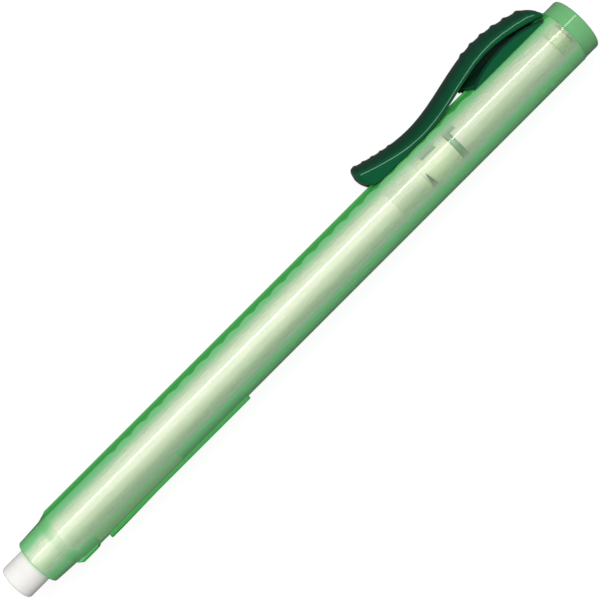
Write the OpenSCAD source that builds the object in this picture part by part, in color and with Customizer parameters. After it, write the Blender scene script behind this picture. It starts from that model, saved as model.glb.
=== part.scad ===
/* [Eraser] */
// Length of a full eraser stick
eraser_len = 90; // [70:1:110]
// Diameter of the eraser stick
eraser_d = 6.3; // [5:0.1:7]
// How far the eraser stands out of the nose
eraser_out = 4.85; // [2:0.05:8]
// Bevel round the ends of the eraser stick
eraser_bevel = 0.2; // [0.1:0.05:0.5]

/* [Barrel] */
// Outer diameter of the barrel
barrel_d = 10; // [9:0.1:12]
// Wall thickness of the barrel
barrel_wall = 1; // [0.8:0.05:1.2]
// Length of the slim nose
nose_len = 4.6; // [3:0.1:8]
// Wall thickness of the nose at its rim
nose_rim_wall = 0.93; // [0.7:0.01:1.2]
// How much thicker the nose is at its root
nose_draft = 0.25; // [0.1:0.05:0.4]
// Length of the sloping shoulder behind the nose
shoulder_len = 1.9; // [1:0.1:4]
// Length of the guide cone inside the barrel, behind the nose
guide_len = 19.7; // [10:0.1:25]
// Length of the straight bore in the nose
nose_bore_len = 4.1; // [3:0.1:6]
// Radial gap between the eraser and the nose bore
nose_gap = 0.12; // [0.05:0.01:0.25]

/* [Slot and rack] */
// Width of the slot along the barrel
slot_w = 3; // [2.4:0.1:3.4]
// Width of each raised rail beside the slot
rail_w = 0.4; // [0.2:0.05:0.8]
// Thickness of the rails over the catch teeth
rail_t = 0.85; // [0.6:0.05:1]
// Distance from one click to the next
click_pitch = 3.445; // [2.5:0.005:4]
// Number of clicks in the whole travel
clicks = 18; // [12:1:18]
// Height of the rack teeth
tooth_h = 0.3; // [0.2:0.05:0.4]
// Width of the scallop between two rack teeth
scallop_w = 3; // [2:0.1:3.2]

/* [Grip rib] */
// Distance from the nose rim to the front end of the rib
rib_front = 11.3; // [10:0.1:16]
// Length of the rib
rib_len = 31.2; // [20:0.1:40]
// Width of the rib
rib_w = 1.6; // [1:0.1:3]
// Height of the rib above the barrel
rib_h = 0.5; // [0.3:0.05:1]
// Extra height of the rib at its front end
rib_lift = 0.2; // [0:0.05:0.4]
// Height of the short lug in front of the rib
lug_h = 0.25; // [0.1:0.05:0.5]
// Width of the short lug in front of the rib
lug_w = 3.2; // [1.6:0.1:4]
// Length of the flats for the fingers
flat_len = 18.5; // [10:0.5:30]
// Angle across each flat, seen along the barrel
flat_angle = 28; // [20:1:30]

/* [Tail plug] */
// Thickness of the plug's flange
flange_t = 3; // [2:0.1:5]
// Step from the barrel's surface down to the flange
flange_step = 0.1; // [0.05:0.05:0.3]
// Length of the plug's spigot inside the barrel
spigot_len = 3; // [2:0.1:8]
// Wall thickness of the plug
plug_wall = 0.5; // [0.4:0.05:0.6]
// Radial gap between the spigot and the bore
spigot_gap = 0.03; // [0.01:0.01:0.1]
// Bevel round the tail face
tail_bevel = 0.3; // [0.1:0.05:0.6]

/* [Eraser holder] */
// Distance from the tail face to the eraser's seat
seat_x = 36.35; // [34:0.05:40]
// Depth of the cup round the eraser
cup_depth = 4.85; // [3:0.05:8]
// Wall thickness of the cup
cup_wall = 0.45; // [0.35:0.05:0.6]
// Radial gap between the eraser and the cup
cup_gap = 0.05; // [0.02:0.01:0.1]
// Gap between the eraser's end and the cup's floor
floor_gap = 0.1; // [0.05:0.01:0.3]
// Thickness of the cup's floor
cup_floor = 1.25; // [0.8:0.05:2]
// Length of the neck behind the cup
neck_len = 6.9; // [6.5:0.1:8]
// Radius of the neck
neck_r = 3.1; // [2.6:0.05:3.2]
// Thickness of the guide disc behind the neck
disc_t = 0.6; // [0.4:0.05:1]
// Radial gap between the guide disc and the bore
disc_gap = 0.1; // [0.05:0.01:0.2]
// Radius of the tube behind the guide disc
tube_r = 3.2; // [2.9:0.05:3.3]
// Wall thickness of the tube behind the guide disc
tube_wall = 0.6; // [0.4:0.05:0.8]
// Rear end of that tube, from the slider's rear end
tube_rear = 0.2; // [0.1:0.1:1]
// Width of the wedge notch at its mouth
notch_w = 1.8; // [1:0.1:2.4]

/* [Thumb slider] */
// Distance from the tail face to the slider's rear end
slider_x = 3.3; // [3.1:0.05:5]
// Gap between the barrel and what rides over it
ride_gap = 0.35; // [0.3:0.01:0.5]
// Side gap between the slider's web and the slot
slot_gap = 0.2; // [0.1:0.01:0.3]
// Width of the saddle's cheeks
saddle_w = 7.2; // [6.6:0.1:8]
// Length of the saddle's cheeks
saddle_len = 17.3; // [15:0.1:18]
// Height of the cheeks above the barrel's crest
saddle_h = 0.82; // [0.5:0.01:1.2]
// Width of the web between saddle and thumb rest
web_w = 4.4; // [3:0.1:5]
// Rear end of the web in the slot, from the slider's rear end
web_rear = 2.2; // [2:0.1:3]
// Front end of the bar in the slot, from the tail face
bar_front = 37.5; // [35:0.1:39]
// Width of the catch over both teeth
catch_w = 4.2; // [3.8:0.05:4.3]
// Length of the catch teeth
catch_len = 1.6; // [1:0.1:1.8]

/* [Clip] */
// Width of the thumb rest and the clip
clip_w = 6.6; // [5:0.1:7]
// Thickness of the thumb rest and the clip
clip_t = 3; // [2.5:0.05:3.2]
// Length of thumb rest and clip together
clip_len = 39.3; // [36:0.1:42]
// Distance from the rear end to the top of the thumb rest
hump_x = 10.7; // [9:0.1:12]
// Height of the thumb rest above the barrel's crest
hump_h = 4.63; // [4:0.01:5.5]
// Distance from the rear end to the clip's lowest point
waist_x = 27.7; // [26:0.1:29]
// Height of the clip's lowest point above the barrel's crest
waist_h = 2.1; // [2.1:0.01:2.6]
// Height of the clip's free end above the barrel's crest
tip_h = 4.35; // [3.5:0.01:5]
// Distance from the rear end to the axis that the clip flexes about
flex_x = 18; // [17:0.1:19]
// Gap between the clip's round root and the thumb rest
flex_gap = 0.05; // [0.03:0.01:0.1]
// Number of ribs on the thumb rest
hump_ribs = 6; // [4:1:6]
// Pitch of the ribs on the thumb rest
hump_rib_pitch = 2.2; // [1.6:0.05:2.4]
// Height of the ribs on the thumb rest
hump_rib_h = 0.22; // [0.1:0.01:0.3]
// Number of ribs on the clip's free end
tip_ribs = 5; // [3:1:5]
// Pitch of the ribs on the clip's free end
tip_rib_pitch = 1.55; // [1.2:0.05:1.8]
// Height of the ribs on the clip's free end
tip_rib_h = 0.13; // [0.05:0.01:0.2]

/* [Hidden] */
$fn = 96;
// Overlap that joins two shapes of one piece, or carries a cut past a face
eps = 0.01;
over = 1;

// Radii about the barrel's axis, which is the X axis, and places along it
barrel_r = barrel_d / 2;
bore_r = barrel_r - barrel_wall;
eraser_r = eraser_d / 2;
nose_bore_r = eraser_r + nose_gap;
nose_rim_r = nose_bore_r + nose_rim_wall;
nose_x = seat_x + eraser_len - eraser_out;
nose_root_x = nose_x - nose_len;
shoulder_x = nose_root_x - shoulder_len;
guide_front_x = nose_x - nose_bore_len;
guide_rear_x = guide_front_x - guide_len;

// The slider travels towards the nose from its rear stop
travel = clicks * click_pitch;
stop_gap = 0.3;
web_rear_x = slider_x + web_rear;
slot_rear_x = web_rear_x - stop_gap;
slot_front_x = bar_front + travel + stop_gap + slot_w / 2 - slot_gap;

// The channel under the rails, where the catch runs
rail_half = slot_w / 2 + rail_w;
channel_side_gap = 0.1;
channel_half = catch_w / 2 + channel_side_gap;
valley_r = barrel_r - rail_t;
tip_r = valley_r - tooth_h;
scallop_r = (pow(scallop_w / 2, 2) + pow(tooth_h, 2)) / (2 * tooth_h);

// The holder, counted back from the eraser's seat
cup_r = eraser_r + cup_gap + cup_wall;
cup_front_x = seat_x + cup_depth;
cup_floor_x = seat_x - floor_gap;
cup_rear_x = cup_floor_x - cup_floor;
neck_rear_x = cup_rear_x - neck_len;
disc_rear_x = neck_rear_x - disc_t;
disc_r = bore_r - disc_gap;
tube_rear_x = slider_x + tube_rear;

// Legs of the slider that drive the holder
leg_gap = 0.1;
leg_len = 1.4;
leg_w = 1.8;
leg_end_r = 2.3;
front_leg_back = 2.2;
front_leg_x = neck_rear_x + front_leg_back;
rear_leg_x = disc_rear_x - leg_gap - leg_len;
press_gap = 0.4;

// The web and bar in the slot, and the catch
web_half = slot_w / 2 - slot_gap;
web_low_r = cup_r + press_gap;
web_top_r = barrel_r + ride_gap + eps;
catch_lead = 0.1;
catch_x = front_leg_x + leg_len + catch_len / 2 + catch_lead;
catch_engage = 0.15;
catch_r = tip_r + catch_engage;
catch_low_r = neck_r + press_gap;

// The lug, and where the flats start, counted from the front end of the rib
lug_space = 1.5;
lug_rear_slope = 1.2;
lug_front_slope = 1;
flat_lead = 1.5;
flat_turn = 22;
rib_flat_part = 1 / 3;
rib_front_part = 1 / 10;
rib_front_share = 0.9;

// The wedge notch, with its apex behind the cup and above the axis
notch_back = 0.6;
notch_apex = 0.6;

// The clip's lines, as heights above the barrel's crest
clip_half = clip_w / 2;
clip_front_x = slider_x + clip_len;
hump_top_x = slider_x + hump_x;
waist_top_x = slider_x + waist_x;
rear_round = 2.7;
rear_line_h = 3.27;
rear_slope = 0.29;
rear_foot_h = 0.3;
tip_slope = 0.318;
tip_round = 1.05;
tip_foot_h = 2.4;
toe_round = 2.7;
crown_end = 1.4;
crown_rise = 1;
flex_axis_x = slider_x + flex_x;
flex_r = clip_t / 2;
split_back = 0.7;
station_step = 0.27;
crown_steps = 8;
crown_share = 0.9;
end_cut = 0.02;
least_round = 0.0004;
web_lap = 0.5;

// First rib of each row, from its end of the clip, and how the ribs fade
hump_rib_x = 2.3;
tip_rib_x = 1.3;
rib_power = 3;
rib_fade = 85;

// Solid of revolution about the X axis from [x, radius] points
module revolve(points) {
    rotate([0, 90, 0]) rotate_extrude() polygon([for (p = points) [p[1], p[0]]]);
}

// Flat plate of half width half, from [x, y] points
module plate(points, half) {
    translate([0, 0, -half]) linear_extrude(2 * half) polygon(points);
}

// Block on the clip's side of the axis, between two radii
module block(x0, x1, r0, r1, half) {
    translate([x0, -r1, -half]) cube([x1 - x0, r1 - r0, 2 * half]);
}

// Round-ended cut through the wall on the clip's side
module slot_cut(x0, x1, half) {
    block(x0 + half, x1 - half, 0, barrel_r + over, half);
    for (x = [x0 + half, x1 - half])
        translate([x, 0, 0]) rotate([90, 0, 0]) cylinder(r = half, h = barrel_r + over);
}

// Space that the barrel and its rails need, grown by gap
module barrel_space(gap) {
    rotate([0, 90, 0])
        translate([0, 0, -over]) cylinder(r = barrel_r + gap, h = nose_x + 2 * over);
    block(-over, nose_x + over, 0, barrel_r + gap, rail_half + gap);
}

// The grip rib and its lug, along the side away from the clip
module grip_rib() {
    rib_x1 = nose_x - rib_front;
    rib_x0 = rib_x1 - rib_len;
    top = barrel_r + rib_h;
    low = bore_r + barrel_wall / 2;
    plate([[rib_x0, low], [rib_x0, top], [rib_x1 - rib_len * rib_flat_part, top],
           [rib_x1 - rib_len * rib_front_part, top + rib_lift * rib_front_share],
           [rib_x1, top + rib_lift], [rib_x1, low]], rib_w / 2);
    lug_x1 = nose_root_x;
    lug_x0 = rib_x1 + lug_space;
    lug_top = barrel_r + lug_h;
    plate([[lug_x0, low], [lug_x0 + lug_rear_slope, lug_top],
           [lug_x1 - lug_front_slope, lug_top], [lug_x1, low]], lug_w / 2);
}

// The two shallow flats for the fingers, beside the rib
module grip_flats() {
    flat_x1 = nose_x - rib_front + flat_lead;
    flat_r = barrel_r * cos(flat_angle / 2);
    lean = flat_angle / 2 + flat_turn;
    for (side = [-1, 1])
        rotate([side * lean, 0, 0])
            translate([flat_x1 - flat_len, flat_r, -barrel_r * sin(flat_angle / 2)])
                cube([flat_len, over, 2 * barrel_r * sin(flat_angle / 2)]);
}

// The channel under the rails, with a scallop at each click
module rack_channel() {
    channel_low = bore_r - over;
    block(slot_rear_x, slot_front_x, channel_low, tip_r, channel_half);
    intersection() {
        block(slot_rear_x, slot_front_x, channel_low, barrel_r, channel_half);
        union() for (i = [0 : clicks + 1])
            translate([catch_x + i * click_pitch, scallop_r - valley_r, -channel_half - over])
                cylinder(r = scallop_r, h = 2 * (channel_half + over));
    }
}

module barrel() {
    color([0.45, 0.75, 0.45, 0.55]) difference() {
        union() {
            revolve([[flange_t, 0], [flange_t, barrel_r], [shoulder_x, barrel_r],
                     [nose_root_x, nose_rim_r + nose_draft], [nose_x, nose_rim_r],
                     [nose_x, 0]]);
            block(flange_t, shoulder_x, bore_r + barrel_wall / 2, barrel_r, rail_half);
            grip_rib();
        }
        revolve([[flange_t - over, 0], [flange_t - over, bore_r], [guide_rear_x, bore_r],
                 [guide_front_x, nose_bore_r], [nose_x + over, nose_bore_r],
                 [nose_x + over, 0]]);
        slot_cut(slot_rear_x, slot_front_x, slot_w / 2);
        rack_channel();
        grip_flats();
    }
}

module tail_plug() {
    flange_r = barrel_r - flange_step;
    spigot_r = bore_r - spigot_gap;
    spigot_x = flange_t + spigot_len;
    floor_x = flange_t / 2;
    color([0.4, 0.7, 0.42, 0.8]) difference() {
        revolve([[0, 0], [0, flange_r - tail_bevel], [tail_bevel, flange_r],
                 [flange_t, flange_r], [flange_t, spigot_r],
                 [spigot_x - tail_bevel, spigot_r], [spigot_x, spigot_r - tail_bevel],
                 [spigot_x, spigot_r - plug_wall], [floor_x, spigot_r - plug_wall],
                 [floor_x, 0]]);
        block(slot_rear_x - over / 2, spigot_x + over, spigot_r - plug_wall - over,
              barrel_r, web_half + over / 2);
    }
}

module eraser() {
    color("white") revolve([[seat_x, 0], [seat_x, eraser_r - eraser_bevel],
        [seat_x + eraser_bevel, eraser_r],
        [seat_x + eraser_len - eraser_bevel, eraser_r],
        [seat_x + eraser_len, eraser_r - eraser_bevel], [seat_x + eraser_len, 0]]);
}

module eraser_holder() {
    cup_bore_r = eraser_r + cup_gap;
    notch_x = cup_rear_x - notch_back;
    color([0.92, 0.94, 0.86]) difference() {
        revolve([[tube_rear_x, tube_r - tube_wall], [tube_rear_x, tube_r],
                 [disc_rear_x, tube_r], [disc_rear_x, disc_r], [neck_rear_x, disc_r],
                 [neck_rear_x, neck_r], [cup_rear_x, neck_r], [cup_rear_x, cup_r],
                 [cup_front_x, cup_r], [cup_front_x, cup_bore_r],
                 [cup_floor_x, cup_bore_r], [cup_floor_x, 0], [disc_rear_x, 0],
                 [disc_rear_x, tube_r - tube_wall]]);
        // Flat on the guide disc, which the slider's web passes over
        block(disc_rear_x - over, neck_rear_x, web_low_r - press_gap - leg_gap, bore_r,
              bore_r);
        // Pockets for the slider's legs
        for (x = [front_leg_x, rear_leg_x])
            block(x - leg_gap, x + leg_len + leg_gap, leg_end_r - press_gap, bore_r,
                  leg_w / 2 + leg_gap);
        // Wedge notch that lets the cup give a little
        plate([[notch_x, -notch_apex], [notch_x - notch_w / 2, cup_r + over],
               [notch_x + notch_w / 2, cup_r + over]], bore_r);
    }
}

// Cubic from height h0 and slope m0 at x0 to height h1 and slope m1 at x1
function cubic(x, x0, h0, m0, x1, h1, m1) =
    let (l = x1 - x0, u = (x - x0) / l)
    h0 * (2 * pow(u, 3) - 3 * pow(u, 2) + 1) + m0 * l * (pow(u, 3) - 2 * pow(u, 2) + u)
    + h1 * (3 * pow(u, 2) - 2 * pow(u, 3)) + m1 * l * (pow(u, 3) - pow(u, 2));

// Height of the clip's top line, before its ends are rounded
function top_line(x) =
    x < hump_top_x ?
        cubic(x, slider_x + rear_round, rear_line_h, rear_slope, hump_top_x, hump_h, 0)
    : x < waist_top_x ?
        cubic(x, hump_top_x, hump_h, 0, waist_top_x, waist_h, 0)
    :   cubic(x, waist_top_x, waist_h, 0, clip_front_x, tip_h, tip_slope);

// Quarter-ellipse from 0 at distance 0 from an end to 1 at distance size
function round_end(distance, size) =
    distance >= size ? 1 : sqrt(max(least_round, 1 - pow(1 - distance / size, 2)));

function top_h(x) =
    let (rear = round_end(x - slider_x, rear_round),
         front = round_end(clip_front_x - x, tip_round), h = top_line(x))
    x < hump_top_x ? rear_foot_h + (h - rear_foot_h) * rear
        : tip_foot_h + (h - tip_foot_h) * front;

function low_h(x) =
    let (level = waist_h - clip_t)
    x < waist_top_x ? top_line(x) - clip_t
        : level + (tip_foot_h - level) * (1 - round_end(clip_front_x - x, toe_round));

// Narrow ridges across the top, the first with its crest at x0
function ribs(x, x0, pitch, count, h) =
    x < x0 - pitch / 2 || x > x0 + (count - 0.5) * pitch ? 0
        : h * pow((1 + cos(360 * (x - x0) / pitch)) / 2, rib_power);

function rib_rise(x) =
    ribs(x, slider_x + hump_rib_x, hump_rib_pitch, hump_ribs, hump_rib_h)
    + ribs(clip_front_x - x, tip_rib_x, tip_rib_pitch, tip_ribs, tip_rib_h);

// Cross-section of the clip at x, as [x, y, z] points from one lower edge to the other
function section(x) =
    let (top = barrel_r + top_h(x), low = min(barrel_r + low_h(x), top - end_cut),
         drop = min(crown_end + crown_rise * sin(180 * (x - slider_x) / clip_len),
                    (top - low) * crown_share),
         arc_r = (pow(clip_half, 2) + pow(drop, 2)) / (2 * drop),
         spread = asin(clip_half / arc_r))
    concat([[x, -low, -clip_half]],
        [for (i = [0 : crown_steps])
            let (a = spread * (2 * i / crown_steps - 1), z = arc_r * sin(a))
            [x, arc_r - top - arc_r * cos(a) - rib_rise(x) * cos(rib_fade * z / clip_half), z]],
        [[x, -low, clip_half]]);

// Skin over the clip's cross-sections from x0 to x1
module clip_skin(x0, x1) {
    count = ceil((x1 - x0) / station_step);
    rings = [for (i = [0 : count]) section(x0 + (x1 - x0) * i / count)];
    n = len(rings[0]);
    sides = [for (i = [0 : count - 1], j = [0 : n - 1])
        let (a = i * n + j, b = i * n + (j + 1) % n, c = a + n, d = b + n)
        each [[a, b, d], [a, d, c]]];
    ends = [[for (j = [n - 1 : -1 : 0]) j], [for (j = [0 : n - 1]) count * n + j]];
    polyhedron([for (ring = rings) each ring], concat(sides, ends));
}

// Round root of the clip, with a radius of its own, about the flex axis
module clip_root(r) {
    axis_r = barrel_r + top_line(flex_axis_x) - flex_r;
    translate([flex_axis_x, -axis_r, -clip_half - over])
        cylinder(r = r, h = 2 * (clip_half + over));
}

// Cheeks that sit over the barrel on both sides of the slot
module saddle() {
    length = saddle_len / 2;
    depth = saddle_h + saddle_drop();
    arc_r = (pow(length, 2) + pow(depth, 2)) / (2 * depth);
    intersection() {
        translate([slider_x + length, arc_r - barrel_r - saddle_h, -saddle_w / 2])
            cylinder(r = arc_r, h = saddle_w);
        block(slider_x, slider_x + saddle_len, barrel_r - saddle_drop(),
              barrel_r + saddle_h, saddle_w / 2);
    }
}

// How far the cheeks reach down the barrel's flanks from its crest
function saddle_drop() =
    barrel_r - sqrt(pow(barrel_r + ride_gap, 2) - pow(saddle_w / 2, 2));

module thumb_slider() {
    split_x = flex_axis_x - split_back;
    web_top = barrel_r + hump_h - clip_t + web_lap;
    color([0.06, 0.32, 0.2]) {
        difference() {
            union() {
                clip_skin(slider_x + end_cut, split_x);
                saddle();
                intersection() {
                    block(slider_x, slider_x + saddle_len, bore_r, web_top, web_w / 2);
                    plate(concat([[slider_x, 0], [split_x, 0]],
                        [for (x = [split_x : -1 : slider_x + rear_round])
                            [x, -barrel_r - top_line(x) + clip_t / 2]],
                        [[slider_x, -barrel_r - rear_foot_h]]), web_w / 2);
                }
            }
            barrel_space(ride_gap);
            clip_root(flex_r + flex_gap);
        }
        // Web in the slot, with a round rear end as the slot has, and the bar in front
        block(web_rear_x + web_half, slider_x + saddle_len - eps, web_low_r, web_top_r,
              web_half);
        translate([web_rear_x + web_half, -web_low_r, 0])
            rotate([90, 0, 0]) cylinder(r = web_half, h = web_top_r - web_low_r);
        block(slider_x + saddle_len - 2 * eps, bar_front, web_low_r, barrel_r, web_half);
        // Catch under the rails
        block(catch_x - catch_len / 2, catch_x + catch_len / 2, catch_low_r,
              web_low_r + eps, web_half);
        block(catch_x - catch_len / 2, catch_x + catch_len / 2, catch_low_r, catch_r,
              catch_w / 2);
        // Legs down to the holder
        for (x = [front_leg_x, rear_leg_x])
            block(x, x + leg_len, leg_end_r, web_low_r + eps, leg_w / 2);
    }
}

module clip_arm() {
    color([0.06, 0.36, 0.22]) difference() {
        union() {
            clip_skin(flex_axis_x, clip_front_x - end_cut);
            intersection() {
                clip_root(flex_r);
                clip_skin(flex_axis_x - 2 * flex_r, flex_axis_x + eps);
            }
        }
        barrel_space(ride_gap);
    }
}

barrel();
tail_plug();
eraser();
eraser_holder();
thumb_slider();
clip_arm();
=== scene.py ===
"""Looks of a push-slide eraser holder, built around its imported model.

Shapes are made in millimetres along the barrel's axis, and become metres when they are dressed.
"""

import math

import bmesh
import bpy
from mathutils import Matrix, Vector


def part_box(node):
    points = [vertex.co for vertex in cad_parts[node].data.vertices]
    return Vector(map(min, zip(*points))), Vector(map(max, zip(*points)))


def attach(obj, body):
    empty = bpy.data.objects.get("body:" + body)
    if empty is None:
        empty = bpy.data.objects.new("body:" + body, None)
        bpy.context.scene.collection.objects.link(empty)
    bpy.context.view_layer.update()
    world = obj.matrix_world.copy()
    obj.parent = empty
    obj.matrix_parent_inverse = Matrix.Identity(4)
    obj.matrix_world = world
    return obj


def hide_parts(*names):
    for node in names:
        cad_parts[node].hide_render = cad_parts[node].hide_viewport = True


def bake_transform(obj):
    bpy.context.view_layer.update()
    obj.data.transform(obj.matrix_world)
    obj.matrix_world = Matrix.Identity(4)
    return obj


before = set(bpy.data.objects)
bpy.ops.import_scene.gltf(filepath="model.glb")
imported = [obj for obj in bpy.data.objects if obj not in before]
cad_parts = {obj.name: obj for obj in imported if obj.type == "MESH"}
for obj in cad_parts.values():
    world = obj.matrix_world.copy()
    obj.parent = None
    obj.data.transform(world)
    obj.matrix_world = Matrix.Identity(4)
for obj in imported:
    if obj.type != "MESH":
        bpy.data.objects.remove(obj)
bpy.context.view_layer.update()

MM = 0.001


def corners_of(node):
    """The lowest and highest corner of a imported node, in millimetres."""
    return [Vector(corner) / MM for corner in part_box(node)]


barrel_low, barrel_high = corners_of("barrel")
plug_high = corners_of("tail_plug")[1]
eraser_low, eraser_high = corners_of("eraser")
holder_low, holder_high = corners_of("eraser_holder")
slider_high = corners_of("thumb_slider")[1]
clip_high = corners_of("clip_arm")[1]

# Barrel: radii, and places along it counted from its two ends
BARREL_R = 5.0
BORE_R = 4.0
NOSE_BORE_R = 3.27
NOSE_RIM_R = 4.2
NOSE_ROOT_R = 4.45
TAIL_X = barrel_low.x
NOSE_X = barrel_high.x
NOSE_ROOT_X = NOSE_X - 4.6
SHOULDER_X = NOSE_ROOT_X - 1.9
GUIDE_FRONT_X = NOSE_X - 4.1
GUIDE_REAR_X = GUIDE_FRONT_X - 19.7
# Rails, rib and lug start inside the wall, and what cuts the wall ends past everything on it
ROOT_R = 4.5
CLEAR_R = 7

# Rails, slot and rack
RAIL_HALF = 1.9
SLOT_HALF = 1.5
SLOT_REAR_X = 5.2
SLOT_FRONT_X = 101.11
CHANNEL_HALF = 2.2
CHANNEL_LOW_R = 2.5
TOOTH_TIP_R = 3.85
TOOTH_VALLEY_R = 4.15
SCALLOP_R = 3.9
SCALLOP_W = 3.0
SCALLOP_CUT_W = SCALLOP_W + 0.4
FIRST_SCALLOP_X = 32.6
CLICK_PITCH = 3.445
CLICKS = 18
# A scallop's cutter is the part of a round bar that lies in this window
WINDOW_TALL = 1.2
WINDOW_WIDE = 20.0

# Grip rib, its lug, and the flats for the fingers
RIB_FRONT_X = NOSE_X - 11.3
RIB_REAR_X = RIB_FRONT_X - 31.2
RIB_HALF = 0.8
RIB_TOP = 5.5
RIB_FRONT_TOP = barrel_high.y
RIB_RISE_X = RIB_FRONT_X - 10.4
RIB_CREST_X = RIB_FRONT_X - 3.1
LUG_REAR_X = RIB_FRONT_X + 1.5
LUG_HALF = 1.6
LUG_TOP = 5.25
LUG_REAR_RAMP = 1.2
LUG_FRONT_RAMP = 1
FLAT_FRONT_X = LUG_REAR_X
FLAT_REAR_X = FLAT_FRONT_X - 18.5
FLAT_R = 4.851
FLAT_LEAN = 36
FLAT_CUT_HALF = 3

# Tail plug
FLANGE_R = plug_high.z
SPIGOT_R = 3.97
SPIGOT_BORE_R = 3.47
SPIGOT_X = plug_high.x
WEB_WAY_HALF = 1.8

# Eraser, and its holder counted back from the eraser's seat
ERASER_R = eraser_high.z
ERASER_REAR_X = eraser_low.x
ERASER_FRONT_X = eraser_high.x
CUP_R = 3.65
CUP_BORE_R = 3.2
CUP_FRONT_X = holder_high.x
CUP_FLOOR_X = ERASER_REAR_X - 0.1
CUP_REAR_X = CUP_FLOOR_X - 1.25
NECK_R = 3.1
NECK_REAR_X = CUP_REAR_X - 6.9
DISC_R = holder_high.z
DISC_REAR_X = NECK_REAR_X - 0.6
DISC_W = 0.6
DISC_FLAT_R = 3.55
TUBE_R = 3.2
TUBE_BORE_R = 2.6
TUBE_REAR_X = holder_low.x
LEG_POCKET_R = 1.9
NOTCH_X = 34.4
NOTCH_HALF = 0.9
NOTCH_TIP_Y = -0.6
NOTCH_MOUTH_Y = CUP_R + 1
NOTCH_WEB_HALF = 1.5
NOTCH_CUT_HALF = 2
FRONT_LEG_X = 30.3
REAR_LEG_X = 26.0
LEG_LEN = 1.4
LEG_HALF = 0.9
LEG_GAP = 0.1
# Where green patches of painted shade stand for the legs seen through the holder's wall
PATCH_Y = -2.45
PATCH_HALF = 0.65

# Slider: saddle, web, bar and catch
SLIDER_X = 3.3
SADDLE_FRONT_X = SLIDER_X + 17.3
SADDLE_HALF = slider_high.z
SADDLE_TOP = 5.82
SADDLE_FOOT = 3.958
SADDLE_EDGE = 0.45
WEB_HALF = 1.4
SLOT_WEB_HALF = 1.3
WEB_REAR_X = 5.5
WEB_LOW_R = 4.05
BAR_FRONT_X = 37.5
CATCH_HALF = 2.1
CATCH_REAR_X = 31.8
CATCH_FRONT_X = 33.4
CATCH_R = 4.0
CATCH_LOW_R = 3.5
SKIRT_REAR_X = SLIDER_X + 5
SKIRT_FRONT_X = 20.9
SKIRT_HALF = SADDLE_HALF - 0.5
SKIRT_TOP = BARREL_R + 0.9
SKIRT_SLOPE = 1.3
LEG_END_R = 2.3
# What hangs from the web starts a little way up in it, and is a hair narrower than it
JOIN_R = WEB_LOW_R + 0.2
NECK_HALF = SLOT_WEB_HALF - 0.01
STEM_TOP_R = 6

# Room over the barrel, under what rides on it
RIDE_GAP = 0.3
RIDE_R = BARREL_R + RIDE_GAP
ROOM_REAR_X = -1
ROOM_FRONT_X = 60
ROOM_LOW_R = 2

# Thumb rest and clip, one moulding: heights are counted from the barrel's crest
CLIP_FRONT_X = clip_high.x
CLIP_LEN = CLIP_FRONT_X - SLIDER_X
CLIP_HALF = clip_high.z
CLIP_T = 3.0
LEAST_T = 0.02
HUMP_X = SLIDER_X + 10.7
HUMP_H = 4.63
WAIST_X = SLIDER_X + 27.7
WAIST_H = 2.1
REST_REAR_X = SLIDER_X + 2.7
REST_REAR_H = 3.27
REST_REAR_SLOPE = 0.29
TOE_H = 4.35
TOE_SLOPE = 0.318
# Heights and lengths of the quarter-ellipses that round its ends, seen from the side and from above
REAR_TIP_H = 0.3
REAR_TIP_LEN = 2.7
TOE_TIP_H = 2.4
TOE_TIP_LEN = 1.05
SOLE_TIP_LEN = 2.7
CORNER_LEN = 1.3
END_INSET = 0.02
CROWN_DROP = 1.4
CROWN_DROP_SHARE = 0.9
EDGE_ROUND = 1.5
LOW_EDGE_ROUND = 0.4
RIB_LEVEL_Y = -BARREL_R - 1.2


# Shapes

# An arc takes at most this share of a side, with or without another arc at the side's far end
SHARED_SIDE = 0.49
WHOLE_SIDE = 0.98
NEARLY_STRAIGHT = math.radians(89)
MERGE_DISTANCE = 1e-5
# The cosine past which a corner's inset grows no further
SHARP_CORNER = 0.3
SHARP_EDGE = math.radians(32)
TURN_STEPS = 144


def rounded(corners, steps=5):
    """Puts an arc at each (a, b, radius) corner of a closed outline, as large as its sides allow."""
    outline = []
    for index, (a, b, radius) in enumerate(corners):
        here = Vector((a, b))
        before, after = corners[index - 1], corners[(index + 1) % len(corners)]
        back, ahead = Vector(before[:2]) - here, Vector(after[:2]) - here
        half_angle = back.angle(ahead) / 2
        if not radius or half_angle > NEARLY_STRAIGHT:
            outline.append(here)
            continue
        room = [side.length * (SHARED_SIDE if corner[2] else WHOLE_SIDE)
                for side, corner in ((back, before), (ahead, after))]
        reach = min(radius / math.tan(half_angle), *room)
        radius = reach * math.tan(half_angle)
        middle = (back.normalized() + ahead.normalized()).normalized()
        centre = here + middle * radius / math.sin(half_angle)
        first = here + back.normalized() * reach - centre
        last = here + ahead.normalized() * reach - centre
        start = math.atan2(first.y, first.x)
        turn = (math.atan2(last.y, last.x) - start + math.pi) % (2 * math.pi) - math.pi
        for step in range(steps + 1):
            angle = start + turn * step / steps
            outline.append(centre + radius * Vector((math.cos(angle), math.sin(angle))))
    return outline


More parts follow.
